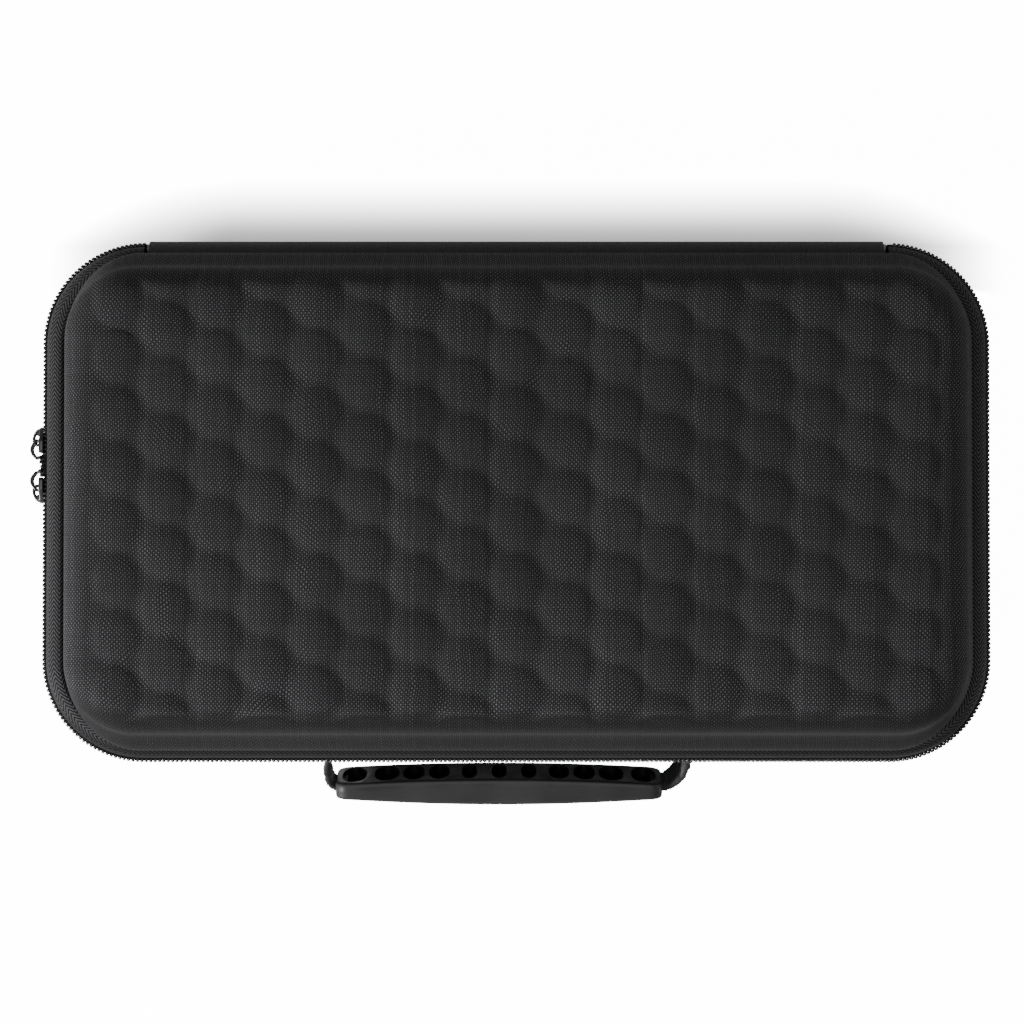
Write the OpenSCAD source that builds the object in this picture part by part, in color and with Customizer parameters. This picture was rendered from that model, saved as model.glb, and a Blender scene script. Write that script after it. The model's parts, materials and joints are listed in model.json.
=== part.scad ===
// Interchangeable needle set: a hard zipped case with a carry handle,
// and inside it a tray of paired needle tips with their small fittings.
// Origin: centre of the base's flat underside. +X along the case,
// +Y towards the cloth hinge at the back, +Z up.

/* [Case] */
// Length over the zip teeth
case_l = 345; // [330:1:380]
// Depth over the zip teeth, front to back
case_w = 189; // [180:1:210]
// Height of the zip line above the underside
zip_z = 38; // [38:1:46]
// Height of the lid's flat top above the zip line
lid_h = 36.5; // [36.5:0.5:44]
// Corner radius of the zip line, seen from above
corner_r = 37; // [34:1:42]
// Thickness of the moulded walls
wall = 4; // [3:0.5:5]
// Radius between a wall and its flat face
shoulder_r = 10.5; // [8:0.5:11]

/* [Zip] */
// How far the zip stands out from the walls
zip_out = 8; // [7:0.5:9]
// Width of the tooth band, measured outwards
coil_w = 2; // [1.6:0.1:2.4]
// Height of each row of teeth
coil_h = 2.6; // [2:0.1:3]
// Half of the gap between the two rows of teeth
slit = 0.35; // [0.3:0.01:0.5]
// Thickness of the zip tape and the hinge cloth
tape_t = 0.8; // [0.6:0.1:1]
// Length of each slider
slider_l = 9.5; // [8:0.5:12]
// Where the rear slider stands, along Y
rear_slider_y = 22.6; // [20:0.1:26]
// Where the front slider stands, along Y
front_slider_y = 4.2; // [1:0.1:5]

/* [Handle] */
// Length of the grip
grip_l = 121; // [110:1:130]
// Width of the grip
grip_h = 24; // [20:1:25]
// How far the grip sits off the case's middle
grip_shift = -6.4; // [-8:0.1:0]
// How far the handle droops at rest
droop = 13; // [11:1:14]
// Width of the webbing
web_w = 16; // [14:1:16]
// Thickness of the webbing
web_t = 2.2; // [1.8:0.1:2.4]

/* [Needle tips] */
// Length of a needle tip with its collar
tip_l = 125; // [100:1:126]
// Distance between neighbouring tips
tip_pitch = 10.6; // [10.2:0.1:10.8]
// Length of the threaded collar on each tip
collar_l = 13; // [8:1:16]

/* [Hidden] */
$fn = 64;
tip_d = [2.75, 3, 3.25, 3.5, 3.75, 4, 4.5, 5, 5.5, 6, 6.5, 7, 8];
tip_names = ["tips_2_75mm", "tips_3_00mm", "tips_3_25mm", "tips_3_50mm", "tips_3_75mm",
             "tips_4_00mm", "tips_4_50mm", "tips_5_00mm", "tips_5_50mm", "tips_6_00mm",
             "tips_6_50mm", "tips_7_00mm", "tips_8_00mm"];

// Centres of the corner arcs
cx = case_l / 2 - corner_r;
cy = case_w / 2 - corner_r;
// Heights away from the zip line: rim, end of the upright band, and shoulder
rim_z = 1.2;
band_z = 12;
rim_r = corner_r - zip_out;
lean = 3;
face_r = rim_r - lean - shoulder_r;
// Half the length of the cloth hinge, which fills the straight back edge
hinge_half = cx - 1.9;

// Zip: inner side of the teeth, and of the tape behind them
coil_r = corner_r - coil_w;
tape_r = coil_r - tape_t - 0.05;
sewn_z = 8.2;

// Slider and pull
wing_t = 1.1;
wing_r = corner_r + 0.2;
wing_z = 4.5;
eye_out = wing_r + wing_t + 1.3;
eye_r = 1.3;
wire_r = 0.45;
wire_fit = 0.1;
pull_l = 6.6;
pull_bulge = 1.8;
pull_z = 2.2;

// Handle: its turning line, and the grip's faces measured out from that line
turn_y = -(cy + rim_r + 2.2);
turn_z = 17.5;
knuckle_r = 5.7;
core_in = 10.8;
core_t = 4;
cover_in = core_in + core_t;
cover_mid = 6.6;
cover_end = 3;
anchor_x = 66;
web_path = cover_in - web_t / 2 - 0.2;

// Tray
tray_z = wall;
tray_h = 12;
tray_top = tray_z + tray_h;
tray_r = face_r;
tip_in = 24;
elastic_x = [55, 120];
elastic_w = 10;
elastic_t = 0.7;
tip_fit = 0.15;
thread_r = 0.9;
thread_l = 6;
stopper_y = [-54, -36, -18, 0];
stopper_r = 8;
stopper_t = 5;
stopper_sunk = 3;
key_x = [-8, 8];
key_y = 14;
key_l = 26;
key_r = 0.9;
key_ring_r = 5;
connector_y = [56, 64];
connector_r = 2;
connector_l = 12;

// Mesh pocket in the lid
pocket_z = zip_z + 6;
pocket_t = 1;
pocket_edge_y = 30;
edging_w = 8;

function row_y(i) = (i - (len(tip_d) - 1) / 2) * tip_pitch;

// Outer outline of a wall, from the rim to the flat face at height h from the zip line,
// drawn at a depth t inside the wall's outer side
function wall_line(h, t) = concat(
    [[rim_r - t, rim_z], [rim_r - t, band_z]],
    [for (a = [0 : 15 : 90])
        [face_r + (shoulder_r - t) * cos(a), h - shoulder_r + (shoulder_r - t) * sin(a)]],
    [[0, h - t]]);

function reversed(p) = [for (i = [len(p) - 1 : -1 : 0]) p[i]];

// Runs a profile round the case: x is the distance from a corner's centre, y the height
module round_case(back = true) {
    for (a = [0 : 90 : 270]) {
        translate([sign(cos(a + 45)) * cx, sign(sin(a + 45)) * cy, 0])
            rotate(a) rotate_extrude(angle = 90) children();
        if (back || a != 90)
            translate([cos(a) * cx, sin(a) * cy, 0])
                rotate([90, 0, a])
                    linear_extrude(2 * (a % 180 == 0 ? cy : cx), center = true) children();
    }
}

// Rounded outline of the case at a distance r from the corners' centres
module outline(r) {
    square([2 * (cx + r), 2 * cy], center = true);
    square([2 * cx, 2 * (cy + r)], center = true);
    for (sx = [-1, 1], sy = [-1, 1]) translate([sx * cx, sy * cy]) circle(r);
}

// Puts a half of the case above (up = 1) or below (up = -1) the zip line
module half(up) {
    translate([0, 0, zip_z]) mirror([0, 0, up > 0 ? 0 : 1]) children();
}

// One moulded half: walls, shoulders and flat face
module moulded_half(h) {
    round_case() polygon(concat(wall_line(h, 0), reversed(wall_line(h, wall))));
    translate([-cx, -cy, h - wall]) cube([2 * cx, 2 * cy, wall]);
}

// Edge tape folded over the rim, inside the zip
module rim_binding() {
    leg = 0.8;
    round_case() polygon([
        [rim_r, rim_z], [rim_r, rim_z - leg], [rim_r - wall - leg, rim_z - leg],
        [rim_r - wall - leg, band_z - 3], [rim_r - wall, band_z - 3], [rim_r - wall, rim_z]]);
}

// Woven tape: upright behind the teeth, sloping in, then sewn to the wall
module zip_tape() {
    round_case(back = false) polygon([
        [tape_r, slit], [tape_r + tape_t, slit], [tape_r + tape_t, slit + 3.4],
        [rim_r + tape_t, sewn_z], [rim_r + tape_t, band_z], [rim_r, band_z],
        [rim_r, sewn_z - 0.4], [tape_r, slit + 3.1]]);
}

module zip_coil() {
    round_case(back = false)
        translate([coil_r, slit]) square([coil_w, coil_h]);
}

// Half of the cloth strip that is the hinge, from its sewn edge to the fold
module hinge_cloth() {
    fold_r = corner_r - 0.4;
    translate([0, cy, 0]) rotate([90, 0, 90])
        linear_extrude(2 * hinge_half, center = true) polygon([
            [rim_r, band_z - 1], [rim_r + tape_t, band_z - 1], [rim_r + tape_t, 6.5],
            [fold_r, 1.3], [fold_r, slit], [fold_r - 0.9, slit], [fold_r - 0.9, 0.9],
            [rim_r, 6.1]]);
}

// Frame of the front wall's inner side: +Y inwards, +Z up along the wall
module on_front_wall() {
    rise = zip_z - shoulder_r - band_z;
    translate([0, -(cy + rim_r - wall - lean / 2), zip_z - band_z - rise / 2])
        rotate([atan2(lean, rise), 0, 0]) children();
}

// Frame of the drooping handle: origin on its turning line, -Y outwards
module handle_frame(turned = droop) {
    translate([0, turn_y, turn_z]) rotate([turned, 0, 0]) children();
}

// Direction of a path's stretch from one point to the next
function heading(a, b) = (b - a) / norm(b - a);

// Step to the side of a path's point i, mitred where the path turns
function side_step(path, i) =
    let (last = len(path) - 1,
         u = heading(path[max(i - 1, 0)], path[max(i, 1)]),
         v = heading(path[min(i, last - 1)], path[min(i + 1, last)]),
         across = [-u.y - v.y, u.x + v.x] / 2)
    across / (across * across);

// Flat ribbon of webbing along a path in the XY plane
module ribbon(path, t, w) {
    linear_extrude(w, center = true) polygon(concat(
        [for (i = [0 : len(path) - 1]) path[i] + side_step(path, i) * t / 2],
        [for (i = [len(path) - 1 : -1 : 0]) path[i] - side_step(path, i) * t / 2]));
}

// Line along X through the handle's turning line
module turning_cylinder(r) {
    rotate([0, 90, 0]) cylinder(r = r, h = 200, center = true);
}

module wall_slits(extra) {
    for (s = [-1, 1])
        translate([s * anchor_x, turn_y + 10, turn_z])
            cube([web_t + extra, 20, web_w + extra], center = true);
}

module rivet_bores(r) {
    on_front_wall() for (s = [-1, 1], z = [-5, 5])
        translate([s * (anchor_x - 12), 10, z]) rotate([90, 0, 0]) cylinder(r = r, h = 24);
}

module base_shell() {
    color("#2b2b2e") difference() {
        half(-1) moulded_half(zip_z);
        wall_slits(0.4);
        rivet_bores(1.6);
    }
}

module lid_shell() { color("#2b2b2e") half(1) moulded_half(lid_h); }

module base_binding() { color("#1c1c1e") half(-1) rim_binding(); }
module lid_binding() { color("#1c1c1e") half(1) rim_binding(); }
module base_zip_tape() { color("#38383b") half(-1) zip_tape(); }
module lid_zip_tape() { color("#38383b") half(1) zip_tape(); }
module base_zip_coil() { color("#232325") half(-1) zip_coil(); }
module lid_zip_coil() { color("#232325") half(1) zip_coil(); }
module base_hinge_cloth() { color("#313134") half(-1) hinge_cloth(); }
module lid_hinge_cloth() { color("#313134") half(1) hinge_cloth(); }

// Stops clamped over the zip's two back ends, on the base's tape
module zip_end_stops() {
    stop_l = 1.4;
    color("#232325") half(-1) for (s = [-1, 1])
        translate([s * (cx - 0.2 - stop_l / 2) - stop_l / 2, cy + tape_r, slit])
            cube([stop_l, corner_r - tape_r, coil_h]);
}

// Sewn ends of the webbing: through the wall's slits and flat along its inner side
module handle_anchors() {
    color("#1f1f21") {
        difference() {
            translate([0, turn_y, turn_z]) intersection() {
                union() for (s = [-1, 1])
                    translate([s * anchor_x, 6, 0]) cube([web_t, 24, web_w], center = true);
                union() {
                    turning_cylinder(knuckle_r);
                    translate([-100, 0, -20]) cube([200, 40, 40]);
                }
            }
            on_front_wall() translate([-100, web_t, -50]) cube([200, 50, 100]);
        }
        difference() {
            on_front_wall() for (s = [-1, 1])
                translate([s * (anchor_x - 9.4) - 9.4, 0, -8]) cube([18.8, web_t, 16]);
            rivet_bores(1.6);
            wall_slits(0);
        }
    }
}

module handle_backing_plates() {
    color("#4a4a4e") difference() {
        on_front_wall() for (s = [-1, 1])
            translate([s * (anchor_x - 12) - 9, web_t, -9]) cube([18, 1.5, 18]);
        rivet_bores(1.6);
    }
}

// Rivets through wall, webbing and plate, with a low head on each side
module handle_rivets() {
    grip_len = wall + web_t + 1.5;
    color("#8d8f94") on_front_wall() for (s = [-1, 1], z = [-5, 5])
        translate([s * (anchor_x - 12), 0, z]) rotate([-90, 0, 0]) {
            translate([0, 0, -wall]) cylinder(r = 1.6, h = grip_len);
            translate([0, 0, -wall - 0.9]) cylinder(r1 = 2.4, r2 = 3.2, h = 0.9);
            translate([0, 0, grip_len - wall]) cylinder(r = 3, h = 0.8);
        }
}

// Places its children at both tips of a size: x = 0 at the point, the tip along +X
module tip_pair(i) {
    for (s = [0, 1]) mirror([s, 0, 0])
        translate([-(tip_in + tip_l), row_y(i), tray_top]) children();
}

module along_x(r, l) { rotate([0, 90, 0]) cylinder(r = r, h = l); }

// A pair of pointed shafts of one diameter
module needle_tips(i) {
    r = tip_d[i] / 2;
    color("#c9ccd1") tip_pair(i) rotate([0, 90, 0]) rotate_extrude() polygon([
        [0, 0], [0.35, 0.15], [0.6, 0.6], [r * 0.72, 9], [r * 0.94, 16], [r, 22],
        [r, tip_l - collar_l], [0, tip_l - collar_l]]);
}

// Collars with the socket that a cable screws into
module tip_collars() {
    color("#b08d3c") for (i = [0 : len(tip_d) - 1]) tip_pair(i)
        translate([tip_l - collar_l, 0, 0]) difference() {
            along_x(tip_d[i] / 2, collar_l);
            translate([collar_l - thread_l, 0, 0]) along_x(thread_r, thread_l + 1);
        }
}

module end_stoppers() {
    color("#7b3f61") for (y = stopper_y)
        translate([0, y, tray_top - stopper_sunk]) difference() {
            cylinder(r = stopper_r, h = stopper_t);
            translate([0, 0, -1]) cylinder(r = 1.5, h = stopper_t + 2);
        }
}

// Bent wire keys: a straight pin with a ring to hold
module tightening_keys() {
    color("#c9ccd1") for (x = key_x) translate([x, key_y, tray_top]) {
        rotate([-90, 0, 0]) cylinder(r = key_r, h = key_l - key_ring_r + 0.5);
        translate([0, key_l, 0]) rotate_extrude()
            translate([key_ring_r, 0]) circle(r = key_r, $fn = 48);
    }
}

// Short studs that join two cables end to end
module cable_connectors() {
    color("#b08d3c") for (y = connector_y) translate([-connector_l / 2, y, tray_top]) {
        along_x(connector_r, connector_l);
        translate([-4, 0, 0]) along_x(thread_r, connector_l + 8);
    }
}

// Covered foam board with a groove or a recess for each loose piece
module needle_tray() {
    color("#3c3c42") difference() {
        translate([0, 0, tray_z]) linear_extrude(tray_h) outline(tray_r);
        for (i = [0 : len(tip_d) - 1]) tip_pair(i)
            along_x(tip_d[i] / 2 + tip_fit, tip_l + 0.4);
        for (y = stopper_y)
            translate([0, y, tray_top - stopper_sunk]) cylinder(r = stopper_r + 0.3, h = 20);
        for (x = key_x) translate([x, key_y, tray_top]) {
            translate([0, -0.3, 0]) rotate([-90, 0, 0])
                cylinder(r = key_r + tip_fit, h = key_l - key_ring_r + 0.6);
            translate([0, key_l, -key_r - tip_fit])
                cylinder(r = key_ring_r + key_r + 0.3, h = 20);
        }
        for (y = connector_y) translate([-connector_l / 2 - 4.2, y, tray_top])
            along_x(connector_r + tip_fit, connector_l + 8.4);
    }
}

// Four elastics sewn across the tray, with a loop over every tip
module tray_elastics() {
    run = len(tip_d) * tip_pitch;
    color("#1a1a1c") for (s = [-1, 1], x = elastic_x)
        translate([s * x - elastic_w / 2, 0, tray_top]) difference() {
            union() {
                translate([0, -run / 2, 0]) cube([elastic_w, run, elastic_t]);
                for (i = [0 : len(tip_d) - 1]) translate([0, row_y(i), 0])
                    along_x(tip_d[i] / 2 + tip_fit + elastic_t, elastic_w);
            }
            for (i = [0 : len(tip_d) - 1]) translate([-1, row_y(i), 0])
                along_x(tip_d[i] / 2 + tip_fit, elastic_w + 2);
            translate([-1, -run, -20]) cube([elastic_w + 2, 2 * run, 20]);
        }
}

// Mesh panel across the lid, open along its back edge
module mesh_pocket() {
    color("#2a2a2d") translate([0, 0, pocket_z]) linear_extrude(pocket_t) intersection() {
        outline(rim_r - wall - 1);
        translate([-case_l, pocket_edge_y - case_w]) square([2 * case_l, case_w]);
    }
}

module pocket_edging() {
    color("#161617") translate([-(cx + rim_r - wall - 1), pocket_edge_y, pocket_z - 0.3])
        cube([2 * (cx + rim_r - wall - 1), edging_w, pocket_t + 0.6]);
}

// Frame of a slider on the left edge: +X outwards from the corner centres' line,
// +Y towards the other slider
module slider_frame(y, rear) {
    translate([-cx, y, zip_z]) rotate(180) mirror([0, rear ? 0 : 1, 0]) children();
}

// Outline of a slider's wing, wide at its mouth and rounded at its nose
module wing(z_half) {
    nose_r = 2.2;
    intersection() {
        square([slider_l, 2 * z_half], center = true);
        union() {
            translate([-slider_l / 2 + nose_r, 0]) circle(nose_r);
            polygon([[-slider_l / 2 + nose_r, -nose_r], [0, -z_half], [slider_l / 2, -z_half],
                     [slider_l / 2, z_half], [0, z_half], [-slider_l / 2 + nose_r, nose_r]]);
        }
    }
}

// Outer and inner wings joined by the web that runs between the rows of teeth
module slider() {
    inner_r = tape_r - 0.35 - 1.6;
    eye_t = 1.2;
    rotate([90, 0, 90]) {
        translate([0, 0, wing_r]) linear_extrude(wing_t) wing(wing_z);
        translate([0, 0, inner_r]) linear_extrude(1.6) wing(2.9);
    }
    translate([inner_r + 0.5, -slider_l / 2 + 2, -0.22])
        cube([wing_r - inner_r, slider_l - 4, 0.44]);
    difference() {
        translate([0, 0, -eye_t / 2]) linear_extrude(eye_t) {
            translate([eye_out, 0]) circle(eye_r);
            translate([wing_r + 0.5, -2.4])
                polygon([[0, 0], [0, 4.8], [0.8, 4.8], [2.2, 3.4], [2.2, 1.4], [0.8, 0]]);
        }
        translate([eye_out, 0, -5]) cylinder(r = wire_r + wire_fit, h = 10);
    }
}

// Small bowed wire pull: two bowed sides between an eye pin and a far pin
module pull() {
    bow_r = (pow(pull_l / 2, 2) + pow(pull_bulge, 2)) / (2 * pull_bulge);
    translate([eye_out, 0, 0]) {
        for (y = [0, pull_l]) translate([0, y, -pull_z - wire_r])
            cylinder(r = wire_r, h = 2 * (pull_z + wire_r));
        for (z = [-pull_z, pull_z])
            translate([pull_bulge - bow_r, pull_l / 2, z - wire_r])
                linear_extrude(2 * wire_r) intersection() {
                    difference() {
                        circle(bow_r + wire_r);
                        circle(bow_r - wire_r);
                    }
                    translate([bow_r - pull_bulge, -pull_l / 2])
                        square([pull_bulge + 1, pull_l]);
                }
    }
}

module slider_rear() { color("#8f9196") slider_frame(rear_slider_y, true) slider(); }
module slider_front() { color("#8f9196") slider_frame(front_slider_y, false) slider(); }
module pull_rear() { color("#a9abb0") slider_frame(rear_slider_y, true) pull(); }
module pull_front() { color("#a9abb0") slider_frame(front_slider_y, false) pull(); }

// Webbing of the handle: along the inside of the grip and out to both anchors
module handle_webbing() {
    end_in = 2.9;
    color("#1f1f21") handle_frame() difference() {
        ribbon([[-anchor_x, -end_in], [grip_shift - grip_l / 2 - 2.5, -web_path + 3.5],
                [grip_shift - grip_l / 2 + 1, -web_path],
                [grip_shift + grip_l / 2 - 1, -web_path], [anchor_x, -end_in]], web_t, web_w);
        turning_cylinder(knuckle_r + 0.3);
    }
}

// Grip outline seen from the front, with rounded ends
module grip_outline(l, h, r) {
    square([l - 2 * r, h], center = true);
    square([l, h - 2 * r], center = true);
    for (sx = [-1, 1], sy = [-1, 1])
        translate([sx * (l / 2 - r), sy * (h / 2 - r)]) circle(r);
}

// Stiff inner part of the grip, with finger recesses and a channel for the webbing
module grip_core() {
    recess_l = 9;
    recess_h = grip_h - 7;
    recess_t = 0.8;
    color("#1b1b1d") handle_frame() translate([grip_shift, -core_in, 0]) difference() {
        rotate([90, 0, 0]) linear_extrude(core_t) grip_outline(grip_l, grip_h, 4.5);
        for (i = [-3 : 3]) translate([i * 12 - recess_l / 2, -recess_t, -recess_h / 2])
            cube([recess_l, recess_t + 1, recess_h]);
        translate([-grip_l, -core_t - 1, -web_w / 2 - 0.3])
            cube([2 * grip_l, web_t + 1.4, web_w + 0.6]);
        for (s = [0, 1]) mirror([s, 0, 0])
            translate([grip_l / 2 - 3, -core_t - 1, -web_w / 2 - 0.3])
                cube([6, core_t + 2, web_w + 0.6]);
    }
}

// Smooth bowed outer part of the grip
module grip_cover() {
    bow_r = (pow(grip_l / 2, 2) + pow(cover_mid - cover_end, 2)) / (2 * (cover_mid - cover_end));
    color("#55555a") handle_frame() translate([grip_shift, -cover_in, 0]) intersection() {
        rotate([90, 0, 0]) linear_extrude(cover_mid) grip_outline(grip_l, grip_h, 4.5);
        translate([0, bow_r - cover_mid, 0]) cylinder(r = bow_r, h = 100, center = true, $fn = 720);
    }
}

base_shell();
base_binding();
base_zip_tape();
base_zip_coil();
base_hinge_cloth();
zip_end_stops();
handle_anchors();
handle_backing_plates();
handle_rivets();
needle_tray();
tray_elastics();
for (i = [0 : len(tip_d) - 1])
    needle_tips(i);
tip_collars();
end_stoppers();
tightening_keys();
cable_connectors();
lid_shell();
lid_binding();
lid_zip_tape();
lid_zip_coil();
lid_hinge_cloth();
mesh_pocket();
pocket_edging();
slider_rear();
pull_rear();
slider_front();
pull_front();
handle_webbing();
grip_core();
grip_cover();
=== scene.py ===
"""Looks of an interchangeable needle set in its zipped hard case.

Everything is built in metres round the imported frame: a piece's place comes from the
boxes of the CAD nodes, and the sizes that the frame does not give are named below.
"""

import json
import math

import bmesh
import bpy
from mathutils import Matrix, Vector


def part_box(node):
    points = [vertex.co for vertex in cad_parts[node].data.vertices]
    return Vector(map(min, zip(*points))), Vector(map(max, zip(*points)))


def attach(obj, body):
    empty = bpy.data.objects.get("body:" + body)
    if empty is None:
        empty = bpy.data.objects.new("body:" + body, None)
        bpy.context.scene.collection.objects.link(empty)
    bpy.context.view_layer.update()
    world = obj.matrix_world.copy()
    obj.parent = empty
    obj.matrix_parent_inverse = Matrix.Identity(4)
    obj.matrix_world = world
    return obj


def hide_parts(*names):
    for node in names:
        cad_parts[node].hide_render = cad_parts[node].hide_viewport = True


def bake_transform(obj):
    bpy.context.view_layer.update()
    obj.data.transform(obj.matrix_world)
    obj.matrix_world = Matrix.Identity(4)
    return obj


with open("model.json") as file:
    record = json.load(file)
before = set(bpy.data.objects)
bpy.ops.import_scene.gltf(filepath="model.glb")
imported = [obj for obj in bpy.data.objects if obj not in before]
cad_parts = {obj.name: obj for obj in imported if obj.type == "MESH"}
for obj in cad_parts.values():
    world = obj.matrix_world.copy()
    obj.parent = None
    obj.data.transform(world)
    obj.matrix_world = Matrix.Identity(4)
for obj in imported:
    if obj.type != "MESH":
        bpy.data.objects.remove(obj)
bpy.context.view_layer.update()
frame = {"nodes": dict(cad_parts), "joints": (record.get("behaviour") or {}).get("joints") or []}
MM = 0.001

# ---------------------------------------------------------------- sizes from the frame
TEETH_LOW, TEETH_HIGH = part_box("lid_zip_coil")
BASE_TEETH_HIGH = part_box("base_zip_coil")[1]
LID_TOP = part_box("lid_shell")[1].z
ZIP_Z = (TEETH_LOW.z + BASE_TEETH_HIGH.z) / 2
CORNER = 37 * MM
CX, CY = TEETH_HIGH.x - CORNER, TEETH_HIGH.y - CORNER
LID_H = LID_TOP - ZIP_Z
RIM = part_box("lid_shell")[1].x - CX
WALL = 4 * MM
LEAN = 3 * MM
SHOULDER = 10.5 * MM
FACE = RIM - LEAN - SHOULDER
JOINTS = {j["name"]: j for j in frame["joints"]}
CLOTH_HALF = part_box("lid_hinge_cloth")[1].x


def linked(name, data):
    """A new object in the scene."""
    obj = bpy.data.objects.new(name, data)
    bpy.context.scene.collection.objects.link(obj)
    return obj


# ---------------------------------------------------------------- camera
VIEW_SPAN = 374 * MM
VIEW_DISTANCE = 1.15
VIEW_TILT = math.radians(1.5)
VIEW_CENTRE = Vector((-1.6 * MM, -3.6 * MM, ZIP_Z))


def add_camera():
    lens = bpy.data.cameras.new("camera")
    lens.sensor_width = 36
    lens.lens = 36 * VIEW_DISTANCE / VIEW_SPAN
    camera = linked("camera", lens)
    away = Vector((0, -math.sin(VIEW_TILT), math.cos(VIEW_TILT)))
    camera.location = VIEW_CENTRE + away * VIEW_DISTANCE
    camera.rotation_euler = (VIEW_TILT, 0, 0)
    bpy.context.scene.camera = camera


# ---------------------------------------------------------------- materials
class Graph:
    """Short names for building a material's nodes."""

    def __init__(self, name):
        self.material = bpy.data.materials.new(name)
        self.material.use_nodes = True
        self.nodes = self.material.node_tree.nodes
        self.links = self.material.node_tree.links
        self.shader = self.nodes["Principled BSDF"]

    def put(self, socket, value):
        if isinstance(value, bpy.types.NodeSocket):
            self.links.new(value, socket)
        else:
            socket.default_value = value

    def math(self, operation, a, b=0.0):
        node = self.nodes.new("ShaderNodeMath")
        node.operation = operation
        self.put(node.inputs[0], a)
        self.put(node.inputs[1], b)
        return node.outputs[0]

    def times(self, a, b):
        return self.math("MULTIPLY", a, b)

    def wave(self, value, rate):
        return self.math("SINE", self.times(value, rate))

    def blend(self, factor, a, b, kind="RGBA"):
        node = self.nodes.new("ShaderNodeMix")
        node.data_type = kind
        self.put(node.inputs["Factor"], factor)
        self.put(node.inputs["A"], a)
        self.put(node.inputs["B"], b)
        return node.outputs["Result"]

    def noise(self, scale, detail=3, vector=None):
        node = self.nodes.new("ShaderNodeTexNoise")
        node.inputs["Scale"].default_value = scale
        node.inputs["Detail"].default_value = detail
        self.put(node.inputs["Vector"], vector or self.place("Object"))
        return node.outputs["Fac"]

    def place(self, kind):
        return self.nodes.new("ShaderNodeTexCoord").outputs[kind]

    def split(self, vector):
        node = self.nodes.new("ShaderNodeSeparateXYZ")
        self.put(node.inputs[0], vector)
        return node.outputs[0], node.outputs[1], node.outputs[2]

    def band(self, value, low, high, to_low=0.0, to_high=1.0):
        node = self.nodes.new("ShaderNodeMapRange")
        for socket, number in zip(node.inputs[:5], (value, low, high, to_low, to_high)):
            self.put(socket, number)
        return node.outputs[0]

    def random_of(self, value):
        node = self.nodes.new("ShaderNodeTexWhiteNoise")
        node.noise_dimensions = "1D"
        self.put(node.inputs["W"], value)
        return node.outputs["Value"]

    def bump(self, height, depth, strength=1.0, before=None):
        node = self.nodes.new("ShaderNodeBump")
        node.inputs["Distance"].default_value = depth
        node.inputs["Strength"].default_value = strength
        self.put(node.inputs["Height"], height)
        if before:
            self.put(node.inputs["Normal"], before)
        return node.outputs["Normal"]

    def finish(self, colour, roughness, normal=None, **fixed):
        self.put(self.shader.inputs["Base Color"], colour)
        self.put(self.shader.inputs["Roughness"], roughness)
        if normal:
            self.put(self.shader.inputs["Normal"], normal)
        for name, value in fixed.items():
            self.shader.inputs[name.replace("_", " ")].default_value = value
        return self.material


def grey(value, blue=1.0):
    return (value, value, value * blue, 1)


def woven(graph, u, v, pitch, period, over):
    """Height of a weave from 0 to 1, and a random number for the thread on top."""
    across = graph.math("DIVIDE", u, pitch)
    along = graph.math("DIVIDE", v, pitch)
    column = graph.math("FLOOR", across)
    row = graph.math("FLOOR", along)
    crest_u = graph.wave(graph.math("FRACT", across), math.pi)
    crest_v = graph.wave(graph.math("FRACT", along), math.pi)
    phase = graph.math("FLOORED_MODULO", graph.math("ADD", column, row), period)
    top = graph.math("LESS_THAN", phase, over)
    warp = graph.times(crest_u, graph.band(crest_v, 0, 1, 0.35, 1))
    weft = graph.times(crest_v, graph.band(crest_u, 0, 1, 0.1, 0.45))
    thread = graph.blend(top, graph.math("ADD", row, 0.37), graph.times(column, 1.71), "FLOAT")
    return graph.blend(top, weft, warp, "FLOAT"), graph.random_of(thread)


THREAD_DRIFT = 1.6 * MM


def knit_nap_and_painted_shade(graph):
    """Shade painted into cloth and tape: darker on what faces the front, and to the back."""
    _, facing, _ = graph.split(graph.place("Normal"))
    _, y, _ = graph.split(graph.place("Object"))
    return graph.times(graph.band(facing, -0.6, -0.25, 0.22, 1),
                       graph.band(y, -0.09, 0.09, 1.04, 0.76))


def cloth(name, gap, crest, pitch, depth, sheen=0.25, period=2, over=1, drifted_and_painted_shade=False):
    """A woven cloth laid along the mesh's UV map, which is in metres."""
    graph = Graph(name)
    u, v, _ = graph.split(graph.place("UV"))
    if drifted_and_painted_shade:
        u = graph.math("ADD", u, graph.band(graph.noise(70, 2), 0.3, 0.7, 0, THREAD_DRIFT))
        v = graph.math("ADD", v, graph.band(graph.noise(50, 2), 0.3, 0.7, 0, THREAD_DRIFT))
    height, thread = woven(graph, u, v, pitch, period, over)
    worn = graph.noise(18, 4)
    fuzz = graph.noise(2600, 2)
    lift = graph.times(height, graph.band(thread, 0, 1, 0.7, 1.0))
    lift = graph.times(lift, graph.band(fuzz, 0.3, 0.7, 0.75, 1.15))
    shown = graph.math("POWER", lift, 1.5) if drifted_and_painted_shade else lift
    colour = graph.blend(shown, grey(gap, 1.04), grey(crest, 1.04))
    shade = graph.band(worn, 0.35, 0.65, 0.75, 1.0)
    if drifted_and_painted_shade:
        # Painted shade: darker where the cloth faces the front and towards the back, on top of
        # the worn patches.
        shade = graph.times(shade, knit_nap_and_painted_shade(graph))
    tone = graph.blend(shade, grey(gap, 1.04), colour)
    roughness = graph.band(lift, 0, 1, 0.9, 0.78)
    normal = graph.bump(lift, depth, 0.9, graph.bump(fuzz, depth * 0.3, 0.4))
    return graph.finish(tone, roughness, normal, Sheen_Weight=sheen, Sheen_Roughness=0.45,
                        Specular_IOR_Level=0.15 if drifted_and_painted_shade else 0.35)


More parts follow.
